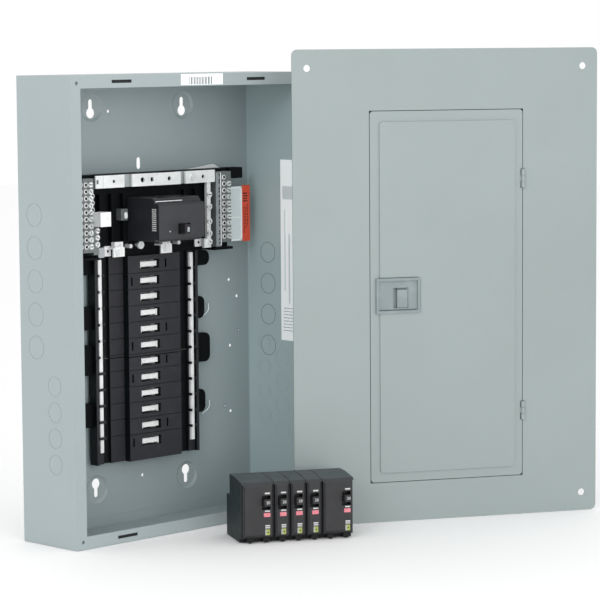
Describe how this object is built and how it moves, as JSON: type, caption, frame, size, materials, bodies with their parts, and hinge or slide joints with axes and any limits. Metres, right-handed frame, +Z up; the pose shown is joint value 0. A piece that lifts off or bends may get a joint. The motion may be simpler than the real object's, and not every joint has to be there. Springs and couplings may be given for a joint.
{
  "type": "residential load center",
  "caption": "Grey steel electrical panel enclosure with bus bars, neutral bars and main breaker inside, a removable cover with a hinged latched door, and loose plug-on branch breakers.",
  "frame": {"origin": "centre of the enclosure's bottom face, on the floor", "axes": "+Z up, +X to the right and -Y out of the enclosure's open front"},
  "size_m": [0.6031, 0.3542, 0.558],
  "materials": {
    "grey_paint": "satin grey powder coat",
    "grey_paint_cover": "satin grey powder coat",
    "galvanised": "plain zinc-plated steel",
    "black_plastic": "matt moulded black",
    "case_plastic": "matt moulded dark grey",
    "tin_plate": "bright tin-plated conductor",
    "screw_steel": "zinc-plated screws",
    "grey_sheet": "matt grey insulating sheet",
    "orange_tag": "matt tag",
    "white_label": "matt white label",
    "latch_plastic": "matt grey moulded"
  },
  "bodies": {
    "enclosure": {"enclosure_wrap": "grey_paint", "top_endwall": "grey_paint", "bottom_endwall": "grey_paint", "mounting_pan": "galvanised", "base_lower": "black_plastic", "base_upper": "black_plastic", "side_tabs": "black_plastic", "bus_bar_a": "tin_plate", "bus_bar_b": "tin_plate", "neutral_rail_left": "tin_plate", "neutral_rail_right": "tin_plate", "upper_carrier": "black_plastic", "neutral_support_left": "black_plastic", "neutral_support_right": "black_plastic", "neutral_bar_left_outer": "tin_plate", "neutral_bar_left_inner": "tin_plate", "neutral_bar_right_inner": "tin_plate", "neutral_bar_right_outer": "tin_plate", "neutral_link_bar": "tin_plate", "neutral_lug": "tin_plate", "terminal_screws_left": "screw_steel", "terminal_screws_right": "screw_steel", "neutral_cross_strap": "tin_plate", "bonding_screw": "screw_steel", "main_breaker_case": "case_plastic", "main_breaker_front": "case_plastic", "main_line_lugs": "tin_plate", "load_straps": "tin_plate", "main_breaker_bolts": "screw_steel", "top_insulator_bar": "black_plastic", "side_barrier": "grey_sheet", "barrier_tag": "orange_tag", "wiring_label": "white_label", "flange_label": "white_label"},
    "main_toggle": {"main_breaker_handle": "black_plastic"},
    "cover": {"cover_trim": "grey_paint_cover", "deadfront_pan": "grey_paint_cover", "cover_hinge_knuckles": "grey_paint_cover", "hinge_pins": "galvanised"},
    "door": {"door_panel": "grey_paint_cover", "door_hinge_knuckles": "grey_paint_cover", "latch_housing": "latch_plastic", "directory_card": "white_label"},
    "latch": {"latch_slide": "latch_plastic"},
    "breaker_1": {"breaker_1_case": "case_plastic", "breaker_1_terminals": "tin_plate"},
    "breaker_1_toggle": {"breaker_1_handle": "black_plastic"},
    "breaker_2": {"breaker_2_case": "case_plastic", "breaker_2_terminals": "tin_plate"},
    "breaker_2_toggle": {"breaker_2_handle": "black_plastic"},
    "breaker_3": {"breaker_3_case": "case_plastic", "breaker_3_terminals": "tin_plate"},
    "breaker_3_toggle": {"breaker_3_handle": "black_plastic"},
    "breaker_4": {"breaker_4_case": "case_plastic", "breaker_4_terminals": "tin_plate"},
    "breaker_4_toggle": {"breaker_4_handle": "black_plastic"},
    "breaker_5": {"breaker_5_case": "case_plastic", "breaker_5_terminals": "tin_plate"},
    "breaker_5_toggle": {"breaker_5_handle": "black_plastic"}
  },
  "joints": [
    {"name": "main_handle_hinge", "type": "hinge", "parent": "enclosure", "child": "main_toggle", "pos_m": [0.004, -0.017, 0.352], "axis": [0, 0, 1], "range_deg": [0, 26]},
    {"name": "cover_lift", "type": "slide", "parent": "enclosure", "child": "cover", "axis": [0, 0, 1], "range_m": [0, 0.6]},
    {"name": "door_hinge", "type": "hinge", "parent": "cover", "child": "door", "pos_m": [0.33786, -0.26203, 0.2646], "axis": [0, 0, 1], "range_deg": [0, 160]},
    {"name": "latch_slide_joint", "type": "slide", "parent": "door", "child": "latch", "axis": [-0.8771, 0.4802, 0], "range_m": [0, 0.0042], "stiffness_N_per_m": 120},
    {"name": "breaker_1_lift", "type": "slide", "parent": "enclosure", "child": "breaker_1", "axis": [0, 0, 1], "range_m": [0, 0.1]},
    {"name": "breaker_1_handle_hinge", "type": "hinge", "parent": "breaker_1", "child": "breaker_1_toggle", "pos_m": [-0.00078, -0.16485, 0.0465], "axis": [-0.8746, 0.4848, 0], "range_deg": [-17, 7]},
    {"name": "breaker_2_lift", "type": "slide", "parent": "enclosure", "child": "breaker_2", "axis": [0, 0, 1], "range_m": [0, 0.1]},
    {"name": "breaker_2_handle_hinge", "type": "hinge", "parent": "breaker_2", "child": "breaker_2_toggle", "pos_m": [0.01588, -0.17408, 0.0465], "axis": [-0.8746, 0.4848, 0], "range_deg": [-17, 7]},
    {"name": "breaker_3_lift", "type": "slide", "parent": "enclosure", "child": "breaker_3", "axis": [0, 0, 1], "range_m": [0, 0.1]},
    {"name": "breaker_3_handle_hinge", "type": "hinge", "parent": "breaker_3", "child": "breaker_3_toggle", "pos_m": [0.03254, -0.18332, 0.0465], "axis": [-0.8746, 0.4848, 0], "range_deg": [-17, 7]},
    {"name": "breaker_4_lift", "type": "slide", "parent": "enclosure", "child": "breaker_4", "axis": [0, 0, 1], "range_m": [0, 0.1]},
    {"name": "breaker_4_handle_hinge", "type": "hinge", "parent": "breaker_4", "child": "breaker_4_toggle", "pos_m": [0.0492, -0.19256, 0.0465], "axis": [-0.8746, 0.4848, 0], "range_deg": [-17, 7]},
    {"name": "breaker_5_lift", "type": "slide", "parent": "enclosure", "child": "breaker_5", "axis": [0, 0, 1], "range_m": [0, 0.1]},
    {"name": "breaker_5_handle_hinge", "type": "hinge", "parent": "breaker_5", "child": "breaker_5_toggle", "pos_m": [0.08252, -0.21103, 0.0465], "axis": [-0.8746, 0.4848, 0], "range_deg": [-17, 7]}
  ]
}
